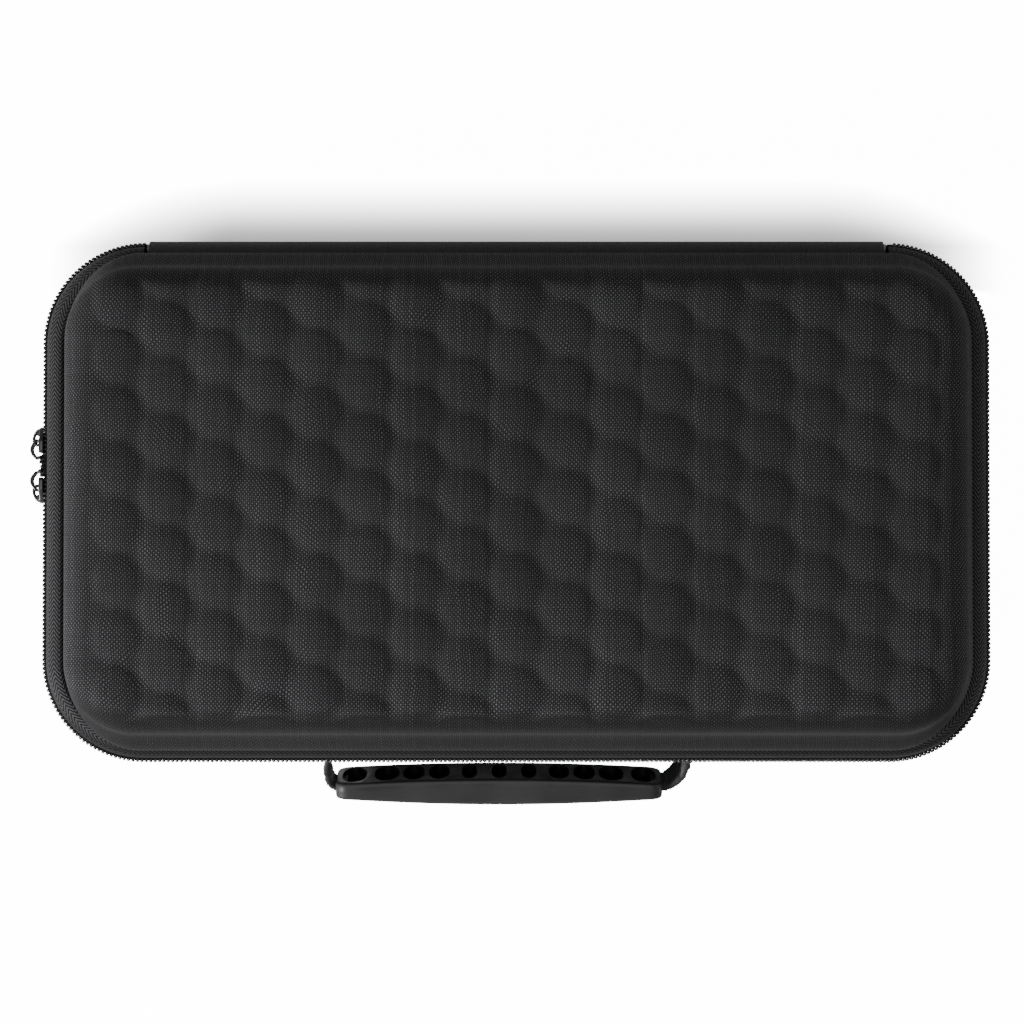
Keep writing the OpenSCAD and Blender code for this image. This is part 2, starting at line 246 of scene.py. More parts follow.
def moulded(name, colour, rough, grain=0.05 * MM, coat=0.0, shine=0.45):
    """Moulded plastic or rubber: fine grain, faint flow marks and scuffed patches."""
    graph = Graph(name)
    spark = graph.noise(3500, 2)
    marks = graph.noise(60, 5)
    tone = graph.blend(graph.band(marks, 0.3, 0.75), grey(colour * 0.8, 1.05),
                       grey(colour * 1.25, 1.03))
    roughness = graph.band(marks, 0.3, 0.7, rough - 0.06, rough + 0.08)
    normal = graph.bump(spark, grain, 0.5)
    return graph.finish(tone, roughness, normal, Coat_Weight=coat, Specular_IOR_Level=shine)


def metal(name, colour, rough, brushed=0.0):
    """Drawn or cast metal, with fine lines along X where it is drawn."""
    graph = Graph(name)
    x, y, z = graph.split(graph.place("Object"))
    line = graph.nodes.new("ShaderNodeCombineXYZ")
    graph.put(line.inputs[0], graph.times(x, 30))
    graph.put(line.inputs[1], graph.times(y, 3000))
    graph.put(line.inputs[2], graph.times(z, 3000))
    drawn = graph.noise(1, 2, line.outputs[0])
    smear = graph.noise(150, 4)
    pale = tuple(min(1, c * 1.12) for c in colour[:3]) + (1,)
    tone = graph.blend(graph.band(smear, 0.35, 0.7), colour, pale)
    roughness = graph.math("ADD", graph.band(smear, 0.3, 0.7, rough, rough + 0.12),
                           graph.band(drawn, 0.3, 0.7, 0, brushed))
    return graph.finish(tone, roughness, graph.bump(drawn, 0.02 * MM, 0.3), Metallic=1)


def herringbone(name, gap, crest, pitch, half):
    """Zip tape: a twill whose slant turns over at every stripe, half wide."""
    graph = Graph(name)
    u, v, _ = graph.split(graph.place("UV"))
    fold = graph.math("PINGPONG", v, half)
    slant = graph.math("ADD", u, graph.times(fold, 1.3))
    ridge = graph.band(graph.wave(slant, 2 * math.pi / pitch), -1, 1)
    cross = graph.wave(v, 2 * math.pi / (pitch * 0.6))
    lift = graph.times(ridge, graph.band(cross, -1, 1, 0.6, 1.0))
    fuzz = graph.noise(2400, 2)
    lift = graph.times(lift, graph.band(fuzz, 0.3, 0.7, 0.7, 1.2))
    # Painted shade on the tape: darker where it faces the front and towards the back.
    colour = graph.blend(graph.times(lift, knit_nap_and_painted_shade(graph)), grey(gap, 1.04), grey(crest, 1.04))
    normal = graph.bump(lift, 0.16 * MM, 0.9)
    return graph.finish(colour, graph.band(lift, 0, 1, 0.9, 0.72), normal,
                        Sheen_Weight=0.05, Sheen_Roughness=0.4, Specular_IOR_Level=0.2)


def ribbed(name, gap, crest, pitch, mapped=True):
    """Webbing and elastic: cross ribs made of fine lengthwise threads.

    The ribs follow the UV map, or Y where the mesh has none.
    """
    graph = Graph(name)
    if mapped:
        u, v, _ = graph.split(graph.place("UV"))
    else:
        v, u, _ = graph.split(graph.place("Object"))
    rib = graph.band(graph.wave(u, 2 * math.pi / pitch), -1, 1)
    thread = graph.band(graph.wave(v, 2 * math.pi / (0.45 * MM)), -1, 1)
    lift = graph.times(rib, graph.band(thread, 0, 1, 0.5, 1.0))
    fuzz = graph.noise(2600, 2)
    colour = graph.blend(graph.times(lift, graph.band(fuzz, 0.3, 0.7, 0.6, 1.2)),
                         grey(gap, 1.04), grey(crest, 1.04))
    return graph.finish(colour, graph.band(lift, 0, 1, 0.85, 0.65),
                        graph.bump(lift, 0.15 * MM, 0.8), Sheen_Weight=0.2,
                        Specular_IOR_Level=0.4)


def plush(name, low, high):
    """Brushed knit, for lining and tray: short pile, with soft patches."""
    graph = Graph(name)
    knit_nap_and_painted_shade = graph.noise(1400, 3)
    lay = graph.noise(40, 3)
    lift = graph.times(graph.band(knit_nap_and_painted_shade, 0.3, 0.7), graph.band(lay, 0.3, 0.7, 0.6, 1))
    colour = graph.blend(lift, grey(low, 1.08), grey(high, 1.08))
    return graph.finish(colour, 0.95, graph.bump(knit_nap_and_painted_shade, 0.2 * MM, 0.6), Sheen_Weight=0.5,
                        Sheen_Roughness=0.5, Specular_IOR_Level=0.2)


# The case cloth carries painted shade, darker where it faces the front and towards the back.
CASE_CLOTH = cloth("case_cloth", 0.006, 0.182, 0.78 * MM, 0.2 * MM, sheen=0.04, drifted_and_painted_shade=True)
LINING = plush("lining", 0.012, 0.035)
TAPE = herringbone("zip_tape", 0.001, 0.088, 1.6 * MM, 2.2 * MM)
STRIP_CLOTH = cloth("strip_cloth", 0.004, 0.044, 0.5 * MM, 0.12 * MM, sheen=0.1, period=3,
                    over=2)
BINDING = cloth("binding", 0.006, 0.030, 0.45 * MM, 0.1 * MM)
TEETH = moulded("teeth", 0.010, 0.22, 0.01 * MM, coat=0.6)
CORE_CORD = moulded("core_cord", 0.003, 0.7, 0.05 * MM)
THREAD = moulded("thread", 0.030, 0.6, 0.03 * MM)
SLIDER_PAINT = moulded("slider_paint", 0.030, 0.30, 0.01 * MM, coat=0.4)
WIRE_PAINT = moulded("wire_paint", 0.016, 0.28, 0.01 * MM, coat=0.5)
CORE_PLASTIC = moulded("core_plastic", 0.030, 0.4, 0.03 * MM, shine=0.3)
# Painted shade: the finger pockets get a darker, less shiny copy of the core's plastic.
POCKET_PLASTIC_PAINTED_SHADE = moulded("pocket_plastic_painted_shade", 0.012, 0.42, 0.03 * MM, shine=0.12)
COVER_RUBBER = moulded("cover_rubber", 0.016, 0.6, 0.05 * MM)
WEBBING = ribbed("webbing", 0.001, 0.110, 2.1 * MM)
ELASTIC = ribbed("elastic", 0.006, 0.030, 0.9 * MM, mapped=False)
TRAY_KNIT = plush("tray_knit", 0.020, 0.060)
NET_YARN = moulded("net_yarn", 0.020, 0.6, 0.02 * MM)
STEEL = metal("steel", (0.62, 0.63, 0.65, 1), 0.22, 0.15)
BRASS = metal("brass", (0.60, 0.42, 0.16, 1), 0.25, 0.1)
RIVET = metal("rivet", (0.35, 0.35, 0.37, 1), 0.35)
STOPPER = moulded("stopper", 0.030, 0.35, 0.02 * MM)
PLATE = moulded("plate", 0.06, 0.5)


# ---------------------------------------------------------------- mesh helpers
def clean(mesh, doubles=0.0, slivers=0.0):
    """Makes points that meet one, drops slivers, and turns all faces outwards."""
    tidy = bmesh.new()
    tidy.from_mesh(mesh)
    if doubles:
        bmesh.ops.remove_doubles(tidy, verts=tidy.verts, dist=doubles)
    if slivers:
        bmesh.ops.dissolve_degenerate(tidy, edges=tidy.edges, dist=slivers)
    bmesh.ops.recalc_face_normals(tidy, faces=tidy.faces)
    tidy.to_mesh(mesh)
    tidy.free()


def skin(start, rows, around, capped=False):
    """Faces between rings of points that follow one another, and over both ends."""
    faces = []
    for j in range(rows):
        for k in range(around):
            a, b = start + j * around + k, start + j * around + (k + 1) % around
            faces.append((a, b, b + around, a + around))
    if capped:
        faces.append(tuple(range(start + around - 1, start - 1, -1)))
        faces.append(tuple(start + rows * around + k for k in range(around)))
    return faces


def run_along(line):
    """Distance from the start of a line to each of its points."""
    lengths = [0.0]
    for a, b in zip(line, line[1:]):
        lengths.append(lengths[-1] + math.dist(a, b))
    return lengths


def piece(name, verts, faces, material, body=None, slot=None, replaces=(), smooth=True,
          uvs=None, doubles=0.0):
    """Makes a mesh object, and rides and replaces it when those are given."""
    mesh = bpy.data.meshes.new(name)
    mesh.from_pydata([tuple(v) for v in verts], [], faces)
    if uvs:
        layer = mesh.uv_layers.new(name="UVMap")
        for loop in mesh.loops:
            layer.data[loop.index].uv = uvs[loop.vertex_index]
    if doubles:
        clean(mesh, doubles)
    mesh.validate()
    for polygon in mesh.polygons:
        polygon.use_smooth = smooth
    obj = linked(name, mesh)
    mesh.materials.append(material)
    if body:
        settle(obj, body, slot, replaces)
    return obj


def settle(obj, body, slot, replaces=()):
    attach(obj, body)
    if replaces:
        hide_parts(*replaces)
    return obj


def recalculate(obj):
    """Turns all faces of a closed mesh outwards."""
    clean(obj.data)
    return obj


def arc_steps(start, end, count):
    return [start + (end - start) * i / count for i in range(count + 1)]


ARC = 40
SIDE_X, SIDE_Y = 180, 76


def rim_path(first=0, last=8):
    """Points on the corners' rectangle with outward normals, anticlockwise from +X.

    Stretch 0 is the right side, 1 the back right corner, 2 the back, and so on.
    """
    points = []
    for turn in range(4):
        facing = turn * math.pi / 2
        normal = (math.cos(facing), math.sin(facing))
        along = (-normal[1], normal[0])
        count, half = (SIDE_Y, CY) if turn % 2 == 0 else (SIDE_X, CX)
        middle = (normal[0] * CX, normal[1] * CY)
        if first <= 2 * turn < last:
            for t in arc_steps(-half, half, count):
                points.append((middle[0] + along[0] * t, middle[1] + along[1] * t, *normal))
        if first <= 2 * turn + 1 < last:
            corner = (middle[0] + along[0] * half, middle[1] + along[1] * half)
            for a in arc_steps(facing, facing + math.pi / 2, ARC)[1:-1]:
                points.append((*corner, math.cos(a), math.sin(a)))
    return points


def sweep(name, path, profile, material, looped_path=True, looped_profile=False, push=None,
          **kept):
    """Runs a profile of (distance from the corners' rectangle, height) along a path.

    push(x, y, r) gives a step outwards and a step upwards.
    """
    lengths = run_along(profile)
    verts, uvs, travelled, before = [], [], 0.0, None
    for px, py, nx, ny in path:
        at = Vector((px + nx * RIM, py + ny * RIM))
        travelled += (at - before).length if before else 0
        before = at
        for (r, z), length in zip(profile, lengths):
            out, lift = push(px + nx * r, py + ny * r, r) if push else (0, 0)
            verts.append((px + nx * (r + out), py + ny * (r + out), z + lift))
            uvs.append((travelled, length))
    rows, wide = len(path), len(profile)
    faces = []
    for j in range(rows if looped_path else rows - 1):
        for k in range(wide if looped_profile else wide - 1):
            a, b = j * wide, (j + 1) % rows * wide
            c, d = k, (k + 1) % wide
            faces.append((a + c, b + c, b + d, a + d))
    if looped_profile and not looped_path:
        faces.append(tuple(range(wide - 1, -1, -1)))
        faces.append(tuple((rows - 1) * wide + k for k in range(wide)))
    return recalculate(piece(name, verts, faces, material, uvs=uvs, **kept))


# ---------------------------------------------------------------- moulded shells
DOME_COLUMNS = 17
DOME_STEP_X = 17.75 * MM
DOME_STEP_Y = 19.85 * MM
DOME_RADIUS = 9.4 * MM
DOME_RISE = 1.5 * MM
DOME_Y = 1.2 * MM
FIELD_X, FIELD_Y = 150.6 * MM, 79.5 * MM


def dome_height(x, y):
    """Rise of the lid's dome pattern: columns of domes, every other one half a step on."""
    column = round(x / DOME_STEP_X)
    column = max(-(DOME_COLUMNS // 2), min(DOME_COLUMNS // 2, column))
    best = 0.0
    for c in (column - 1, column, column + 1):
        if abs(c) > DOME_COLUMNS // 2:
            continue
        shift = 0.5 if c % 2 == 0 else 0.0
        row = round((y - DOME_Y) / DOME_STEP_Y - shift) + shift
        gap = math.hypot(x - c * DOME_STEP_X, y - DOME_Y - row * DOME_STEP_Y)
        if gap < DOME_RADIUS:
            best = max(best, 1 - (gap / DOME_RADIUS) ** 2)
    inside = min(1, max(0, (FIELD_X - abs(x)) / (3 * MM)))
    inside *= min(1, max(0, (FIELD_Y - abs(y)) / (3 * MM)))
    return DOME_RISE * math.sqrt(best) ** 1.5 * inside if best else 0.0


# The spread of the lid's long walls, the height where it begins, the drop in which it
# grows to the full, and the share of it by which the left wall draws in
LID_FLARE, FLARE_TOP, FLARE_RUN, LEFT_DRAW = 3.4 * MM, 28 * MM, 15 * MM, 0.4


def wall_profile(height, depth, flat_steps):
    """(distance, height over the zip line) from the flat face down to the rim."""
    arc = SHOULDER - depth
    points = [(FACE * i / flat_steps, height - depth) for i in range(flat_steps)]
    for a in arc_steps(math.pi / 2, 0, 12):
        points.append((FACE + arc * math.cos(a), height - SHOULDER + arc * math.sin(a)))
    foot, top = 13 * MM, height - SHOULDER
    for i in range(1, 9):
        t = i / 8
        ease = t * t * (3 - 2 * t)
        points.append((RIM - LEAN - depth + LEAN * ease, top + (foot - top) * t))
    return points


def shell(name, up, height, rim_edge, domes, outer, flare=0.0, **kept):
    """One moulded half: cloth outside, its rim, and the lining inside, as a closed mesh.

    Towards the rim the long walls spread by flare, and the left wall draws in a little.
    """
    path = rim_path()
    outside = wall_profile(height, 0, 14) + rim_edge
    inside = wall_profile(height, WALL, 1) + [(RIM - WALL, rim_edge[-1][1])]
    cells_x, cells_y = SIDE_X, SIDE_Y
    verts, uvs, faces, marks = [], [], [], []

    def height_at(x, y, z):
        return ZIP_Z + up * (z + (domes(x, y) if domes and z > height - 3 * MM else 0))

    def grid(z, flat, lined):
        start = len(verts)
        for i in range(cells_x + 1):
            for j in range(cells_y + 1):
                x = -CX + 2 * CX * i / cells_x
                y = -CY + 2 * CY * j / cells_y
                verts.append((x, y, ZIP_Z + up * z if flat else height_at(x, y, z)))
                uvs.append((x, y))
        for i in range(cells_x):
            for j in range(cells_y):
                a = start + i * (cells_y + 1) + j
                faces.append((a, a + cells_y + 1, a + cells_y + 2, a + 1))
                marks.append(lined)
        return start

    def rings(profile, lined, flat):
        wide, start = len(profile), len(verts)
        run = [length + profile[0][0] for length in run_along(profile)]
        for px, py, nx, ny in path:
            for (r, z), length in zip(profile, run):
                spread = flare * (ny ** 4 - LEFT_DRAW * min(0, nx) ** 4)
                wide_r = r + spread * smooth_step((FLARE_TOP - z) / FLARE_RUN)
                x, y = px + nx * wide_r, py + ny * wide_r
                verts.append((x, y, ZIP_Z + up * z if flat else height_at(x, y, z)))
                uvs.append((px + nx * length, py + ny * length))
        for j in range(len(path)):
            a, b = start + j * wide, start + (j + 1) % len(path) * wide
            for k in range(wide - 1):
                faces.append((a + k, b + k, b + k + 1, a + k + 1))
                marks.append(lined)
        return start, wide

    grid(height, not domes, 0)
    first, wide = rings(outside, 0, not domes)
    grid(height - WALL, True, 1)
    second, narrow = rings(inside, 1, True)
    for j in range(len(path)):
        k = (j + 1) % len(path)
        faces.append((first + j * wide + wide - 1, first + k * wide + wide - 1,
                      second + k * narrow + narrow - 1, second + j * narrow + narrow - 1))
        marks.append(1)
    mesh = bpy.data.meshes.new(name)
    mesh.from_pydata(verts, [], faces)
    layer = mesh.uv_layers.new(name="UVMap")
    for loop in mesh.loops:
        layer.data[loop.index].uv = uvs[loop.vertex_index]
    for polygon, mark in zip(mesh.polygons, marks):
        polygon.material_index = mark
        polygon.use_smooth = True
    clean(mesh, 0.01 * MM, 0.005 * MM)
    obj = linked(name, mesh)
    mesh.materials.append(outer)
    mesh.materials.append(LINING)
    return settle(obj, **kept)


# Under edge of each shell, tucked in behind the zip tape
RIM_EDGE = [(RIM, 10.5 * MM), (RIM - 0.05 * MM, 9 * MM), (RIM - 0.3 * MM, 7.9 * MM),
            (RIM - 0.9 * MM, 7.2 * MM), (RIM - 1.3 * MM, 6 * MM), (RIM - 1.3 * MM, 1.3 * MM)]


def add_shells():
    shell("case_lid", 1, LID_H, RIM_EDGE, dome_height, CASE_CLOTH, LID_FLARE,
          body="lid", slot="case_fabric", replaces=["lid_shell"])
    shell("case_base", -1, ZIP_Z, RIM_EDGE, None, CASE_CLOTH,
          body="base", slot="case_fabric", replaces=["base_shell"])


# ---------------------------------------------------------------- zip and hinge cloth
REAR_Y = sum(c.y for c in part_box("slider_rear")) / 2
FRONT_Y = sum(c.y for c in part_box("slider_front")) / 2
SLIDER_HALF = (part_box("slider_rear")[1].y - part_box("slider_rear")[0].y) / 2
TEETH_PITCH = 1.6 * MM
TEETH_R = CORNER - 0.9 * MM
ZIP_PATH = [(-CX, CY, 0, 1)] + rim_path(3, 8) + rim_path(0, 2) + [(CX, CY, 0, 1)]


def smooth_step(value):
    value = min(1, max(0, value))
    return value * value * (3 - 2 * value)


def splay(x, y):
    """How far the parted zip stands out between the two sliders, from 0 to 1."""
    low, high = FRONT_Y + SLIDER_HALF, REAR_Y - SLIDER_HALF
    if x > 0 or not low < y < high:
        return 0.0
    edge = min(y - low, high - y) / (1.6 * MM)
    middle = abs(y - (low + high) / 2) / (3 * MM)
    return smooth_step(edge) * (0.45 + 0.55 * smooth_step(middle))


SPLAY_OUT, SPLAY_UP = 2.0 * MM, 0.7 * MM


def parted(up):
    """Push for the teeth and coil core of one half: outwards, and away from the zip line."""
    def push(x, y, r):
        share = smooth_step((r - 34.6 * MM) / (1 * MM)) * splay(x, y)
        return SPLAY_OUT * share, up * SPLAY_UP * share
    return push


def thick(line, thickness):
    """A closed profile: the line, and back along its other side."""
    back = []
    for i, (r, z) in enumerate(line):
        r0, z0 = line[max(i - 1, 0)]
        r1, z1 = line[min(i + 1, len(line) - 1)]
        length = math.hypot(r1 - r0, z1 - z0)
        back.append((r + (z1 - z0) / length * thickness, z - (r1 - r0) / length * thickness))
    return line + back[::-1]


def curve_through(points, steps):
    """Catmull-Rom curve through points of any dimension."""
    ends = [points[0]] + list(points) + [points[-1]]
    line = []
    for a, b, c, d in zip(ends, ends[1:], ends[2:], ends[3:]):
        for i in range(steps):
            t = i / steps
            line.append(tuple(
                0.5 * (2 * q + (r - p) * t + (2 * p - 5 * q + 4 * r - s) * t * t
                       + (3 * q - p - 3 * r + s) * t ** 3)
                for p, q, r, s in zip(a, b, c, d)))
    return line + [tuple(points[-1])]


# Zip tape from the teeth, over its swelling, down into the seam at the shell
TAPE_LINE = [(35.2, 0.5), (35.1, 1.2), (34.95, 2.2), (34.8, 3.4), (34.3, 5.2), (33.3, 6.6),
             (31.8, 7.6), (30.4, 8.0), (29.4, 7.8), (28.9, 7.0), (28.5, 5.8)]
# The cloth of the hinge, from its fold to the same seam
STRIP_LINE = [(37.1, 0.0), (36.9, 1.0), (36.1, 2.9), (34.6, 5.0), (32.8, 6.7), (31.2, 7.8),
              (29.9, 8.1), (29.2, 7.8), (28.8, 7.0), (28.5, 5.8)]


def add_tape(up, body, node):
    line = curve_through([(r * MM, ZIP_Z + up * z * MM) for r, z in TAPE_LINE], 3)
    sweep("tape_" + body, ZIP_PATH, thick(line, up * 0.75 * MM), TAPE, looped_path=False,
          looped_profile=True, body=body, slot="zip_tape", replaces=[node])


def zip_point(distance):
    """Point on the corners' rectangle and outward normal, at a distance along the teeth."""
    quarter = math.pi / 2 * TEETH_R
    for turn in range(7):
        facing = math.pi / 2 * (1 + (turn + 1) // 2)
        if turn % 2 == 0:
            if distance <= quarter or turn == 6:
                a = facing + distance / TEETH_R
                corner = facing + math.pi / 4
                return (math.copysign(CX, math.cos(corner)),
                        math.copysign(CY, math.sin(corner)), math.cos(a), math.sin(a))
            distance -= quarter
        else:
            nx, ny = math.cos(facing), math.sin(facing)
            half = CY if abs(nx) > 0.5 else CX
            if distance <= 2 * half:
                t = distance - half
                return nx * CX - ny * t, ny * CY + nx * t, nx, ny
            distance -= 2 * half


def add_teeth(up, body, node):
    """One row of coil turns: flattened loops side by side, joined by a cord behind them."""
    quarter = math.pi / 2 * TEETH_R
    total = 4 * quarter + 4 * CY + 2 * CX
    count = int(total / TEETH_PITCH)
    sides, rows = 12, 6
    half_t, half_r, half_z = 0.69 * MM, (1.1 if up > 0 else 0.8) * MM, 1.72 * MM
    verts, faces = [], []
    push = parted(up)
    for i in range(count):
        px, py, nx, ny = zip_point((i + (0.25 if up > 0 else 0.75)) * TEETH_PITCH)
        tx, ty = -ny, nx
        out, lift = push(px + nx * TEETH_R, py + ny * TEETH_R, TEETH_R)
        start = len(verts)
        for j in range(rows + 1):
            polar = math.pi * j / rows
            for k in range(sides):
                turn = 2 * math.pi * k / sides
                z = math.cos(polar)
                wide = math.sin(polar) ** 0.6
                head = 1 + 0.16 * smooth_step((-z - 0.3) / 0.5)
                t = math.copysign(abs(math.cos(turn)) ** 0.6, math.cos(turn))
                t *= wide * half_t * head
                r = math.copysign(abs(math.sin(turn)) ** 0.6, math.sin(turn))
                r = TEETH_R + out + wide * r * half_r + half_r - 0.95 * MM
                lean = 0.25 * MM * z
                verts.append((px + nx * r + tx * (t + lean), py + ny * r + ty * (t + lean),
                              ZIP_Z + up * (1.42 * MM + z * half_z) + lift))
        faces += skin(start, rows, sides)
    row = piece("teeth_" + body, verts, faces, TEETH, doubles=0.002 * MM)
    settle(row, body, "zip_teeth", [node])
    core = [(34.9, 0.5), (36.2, 0.5), (36.7, 0.9), (36.7, 1.9), (36.2, 2.5), (34.9, 2.7)]
    sweep("coil_core_" + body, ZIP_PATH, [(r * MM, ZIP_Z + up * z * MM) for r, z in core],
          CORE_CORD, looped_path=False, looped_profile=True, push=push, body=body,
          slot="zip_teeth")


def add_hinge_cloth():
    """One strip of cloth, sewn to both shells and folded on the hinge line."""
    upper = [(r * MM, ZIP_Z + z * MM) for r, z in STRIP_LINE]
    lower = [(r * MM, ZIP_Z - z * MM) for r, z in STRIP_LINE[1:]]
    line = curve_through(lower[::-1] + upper, 3)
    steps = 134
    path = [(-CLOTH_HALF - 0.4 * MM + (2 * CLOTH_HALF + 0.8 * MM) * i / steps, CY, 0, 1)
            for i in range(steps + 1)]
    strip = sweep("hinge_strip", path[::-1], thick(line, 0.8 * MM), STRIP_CLOTH,
                  looped_path=False, looped_profile=True)
    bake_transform(strip)
    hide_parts("base_hinge_cloth", "lid_hinge_cloth")
    run = sum(math.dist(a, b) for a, b in zip(line, line[1:]))


def stitch_row(name, ends, body, slot):
    """Sunk thread stitches in a straight row between two points, on a surface facing out."""
    start, end = Vector(ends[0]), Vector(ends[1])
    along = (end - start).normalized()
    side = along.orthogonal().normalized()
    other = along.cross(side)
    length, gap, radius = 2.5 * MM, 0.9 * MM, 0.24 * MM
    verts, faces = [], []
    for i in range(int((end - start).length / (length + gap))):
        begin = len(verts)
        for j in range(7):
            share = j / 6
            width = radius * math.sin(math.pi * min(0.98, max(0.02, share))) ** 0.35
            centre = start + along * (i * (length + gap) + share * length)
            for k in range(6):
                turn = math.pi * k / 3
                verts.append(centre + side * width * math.cos(turn)
                             + other * width * math.sin(turn))
        faces += skin(begin, 6, 6, True)
    return settle(recalculate(piece(name, verts, faces, THREAD)), body, slot)


def add_hinge_stitches():
    reach = CLOTH_HALF - 2 * MM
    for up, body in ((1, "lid"), (-1, "base")):
        y, z = CY + 33.8 * MM, ZIP_Z + up * 5.95 * MM
        stitch_row("stitches_" + body, [(-reach, y, z), (reach, y, z)], body, "hinge_cloth")


def add_bindings():
    for up, body in ((1, "lid"), (-1, "base")):
        line = [(RIM - 0.9 * MM, 4 * MM), (RIM - 0.9 * MM, 1.0 * MM), (RIM - 1.4 * MM, 0.5 * MM),
                (RIM - WALL, 0.45 * MM), (RIM - WALL - 0.6 * MM, 0.9 * MM),
                (RIM - WALL - 0.7 * MM, 9 * MM), (RIM - WALL - 0.2 * MM, 9.3 * MM),
                (RIM - WALL + 0.1 * MM, 1.4 * MM), (RIM - 1.6 * MM, 1.2 * MM),
                (RIM - 1.4 * MM, 4 * MM)]
        sweep("binding_" + body, rim_path(), [(r, ZIP_Z + up * z) for r, z in line], BINDING,
              looped_profile=True, body=body, slot="edge_binding",
              replaces=[body + "_binding"])


# ---------------------------------------------------------------- tubes, sliders, pulls
def tube(name, points, radius, material, closed=False, flatten=1.0):
    """Round or flattened wire along a line of points."""
    count, sides, verts, faces = len(points), 12, [], []
    points = [Vector(p) for p in points]
    for i, p in enumerate(points):
        before = points[i - 1] if i or closed else p
        after = points[(i + 1) % count] if i < count - 1 or closed else p
        along = (after - before).normalized()
        side = along.cross(Vector((0, 0, 1)))
        if side.length < 0.1:
            side = along.cross(Vector((1, 0, 0)))
        side.normalize()
        other = side.cross(along).normalized()
        for k in range(sides):
            turn = 2 * math.pi * k / sides
            verts.append(p + side * radius * math.cos(turn)
                         + other * radius * flatten * math.sin(turn))
    for i in range(count if closed else count - 1):
        for k in range(sides):
            a, b = i * sides, (i + 1) % count * sides
            faces.append((a + k, a + (k + 1) % sides, b + (k + 1) % sides, b + k))
    if not closed:
        faces.append(tuple(range(sides - 1, -1, -1)))
        faces.append(tuple((count - 1) * sides + k for k in range(sides)))
    return recalculate(piece(name, verts, faces, material))


def bake(obj):
    """Applies an object's modifiers."""
    graph = bpy.context.evaluated_depsgraph_get()
    mesh = bpy.data.meshes.new_from_object(obj.evaluated_get(graph))
    obj.modifiers.clear()
    obj.data = mesh
    return obj


def rounded(obj, width, segments=3, angle=35):
    bevel = obj.modifiers.new("edges", "BEVEL")
    bevel.width = width
    bevel.segments = segments
    bevel.limit_method = "ANGLE"
    bevel.angle_limit = math.radians(angle)
    bake(obj)
    for polygon in obj.data.polygons:
        polygon.use_smooth = True
    obj.data.set_sharp_from_angle(angle=math.radians(50))
    return obj


def prism(name, outline, low, high, place, material):
    """Closed solid: an outline of (a, b) points between two distances, put in place."""
    return stacked(name, [(outline, low), (outline, high)], place, material)


def join(name, parts):
    """One object out of several, named afresh."""
    joined = bmesh.new()
    for part in parts:
        joined.from_mesh(part.data)
        bpy.data.objects.remove(part)
    mesh = bpy.data.meshes.new(name)
    joined.to_mesh(mesh)
    joined.free()
    return linked(name, mesh)


def slider_place(y, toward):
    """Frame of a slider: out from the corners' line, along to the other slider, and up."""
    return lambda out, along, up: (-CX - out * MM, y + toward * along * MM, ZIP_Z + up * MM)


def wing_outline(half_wide, half_long):
    """A slider's face: rounded at the nose, widening to a mouth with soft corners."""
    nose = [(-half_long + 2.2 * (1 - math.cos(a)), 2.4 * math.sin(a))
            for a in arc_steps(-math.pi / 2, math.pi / 2, 10)]
    mouth = [(0.2, half_wide), (half_long - 0.8, half_wide), (half_long, half_wide - 0.8),
             (half_long, -half_wide + 0.8), (half_long - 0.8, -half_wide), (0.2, -half_wide)]
    return nose + mouth


def add_slider(which, y, toward):
    place = slider_place(y, toward)
    half_long = SLIDER_HALF / MM
    outer = prism("outer", wing_outline(4.4, half_long), 36.8, 38.6,
                  lambda a, b, c: place(c, a, b), SLIDER_PAINT)
    rounded(outer, 0.45 * MM)
    inner = prism("inner", wing_outline(2.8, half_long), 32.3, 33.7,
                  lambda a, b, c: place(c, a, b), SLIDER_PAINT)
    rounded(inner, 0.3 * MM)
    web = prism("web", [(-2.6, -0.2), (2.4, -0.2), (2.4, 0.2), (-2.6, 0.2)], 33.5, 37.4,
                lambda a, b, c: place(c, a, b), SLIDER_PAINT)
    crest = curve_through([(38.1, -3.9), (39.4, -3.4), (40.3, -2.0), (40.75, -0.4),
                           (40.5, 1.1), (39.5, 1.75), (38.2, 1.8)], 5)
    bail = tube("bail", [place(r, a, 0) for r, a in crest], 0.6 * MM, SLIDER_PAINT,
                flatten=2.1)
    hump = prism("hump", [(-4.2, 0), (-3.4, 1.0), (-1.6, 1.3), (-1.2, 0)], -1.5, 1.5,
                 lambda a, b, c: place(38.3 + b, a, c), SLIDER_PAINT)
    rounded(hump, 0.3 * MM)
    body = join("zip_slider_" + which, [outer, inner, web, bail, hump])
    body.data.materials.append(SLIDER_PAINT)
    settle(body, which + "_slider", "slider_metal", ["slider_" + which])
    corners = [(39.6, 0, 1.2), (39.75, 0.25, 2.2), (41.0, 2.0, 2.35), (41.45, 3.5, 2.35),
               (41.0, 5.1, 2.35), (39.8, 6.5, 2.2), (39.5, 6.75, 1.2)]
    loop = corners + [(r, a, -z) for r, a, z in corners[::-1]]
    loop += [loop[0]]
    points = curve_through(loop, 5)[:-1]
    pull = tube("zip_pull_" + which, [place(*p) for p in points], 0.45 * MM, WIRE_PAINT,
                closed=True)
    settle(pull, which + "_pull", "pull_wire", ["pull_" + which])


# ---------------------------------------------------------------- handle
GRIP_LOW, GRIP_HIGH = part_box("grip_core")
GRIP_MIDDLE = (GRIP_LOW.x + GRIP_HIGH.x) / 2
GRIP_HALF = (GRIP_HIGH.x - GRIP_LOW.x) / 2
TURN = Vector(JOINTS["handle_swing"]["pos_m"])
DROOP = math.radians(13)
CORE_IN, CORE_LIP = 10.8 * MM, 13.0 * MM
GRIP_BOW, LIP_BOW = 1.9 * MM, 2.7 * MM
COVER_OUT, COVER_END = 21.4 * MM, 18.9 * MM
GRIP_TALL = 24 * MM
ANCHOR_X = 66 * MM
WEB_TALL, WEB_THICK = 16 * MM, 2.5 * MM


